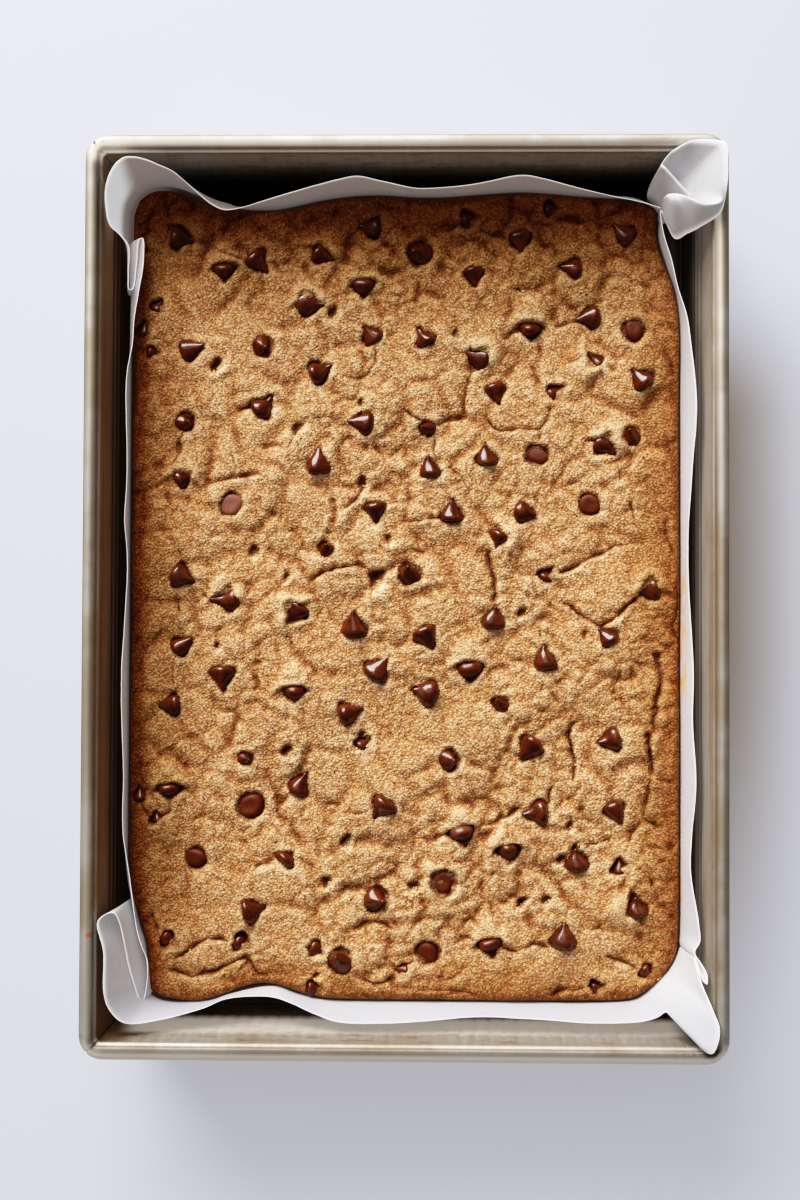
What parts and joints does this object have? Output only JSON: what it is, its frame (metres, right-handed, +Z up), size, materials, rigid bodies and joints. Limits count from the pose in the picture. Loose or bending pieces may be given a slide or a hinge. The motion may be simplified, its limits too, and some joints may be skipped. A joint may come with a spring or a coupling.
{
  "type": "cookie bar in a baking tin",
  "caption": "Uncut slab of chocolate chip cookie bar, baked in a rectangular metal tin lined with parchment paper.",
  "frame": {"origin": "on the table, under the middle of the tin", "axes": "+X across the tin, +Y along its length, +Z up"},
  "size_m": [0.2394, 0.3432, 0.0688],
  "materials": {
    "tin": "aged aluminised steel, satin, lightly stained",
    "parchment": "white baking parchment, creased",
    "cookie": "golden brown baked dough with dark chocolate chips",
    "chocolate": "dark chocolate, satin with a soft gloss"
  },
  "bodies": {
    "root": {"baking_tin": "tin", "parchment_liner": "parchment", "cookie_bar": "cookie"}
  },
  "joints": []
}
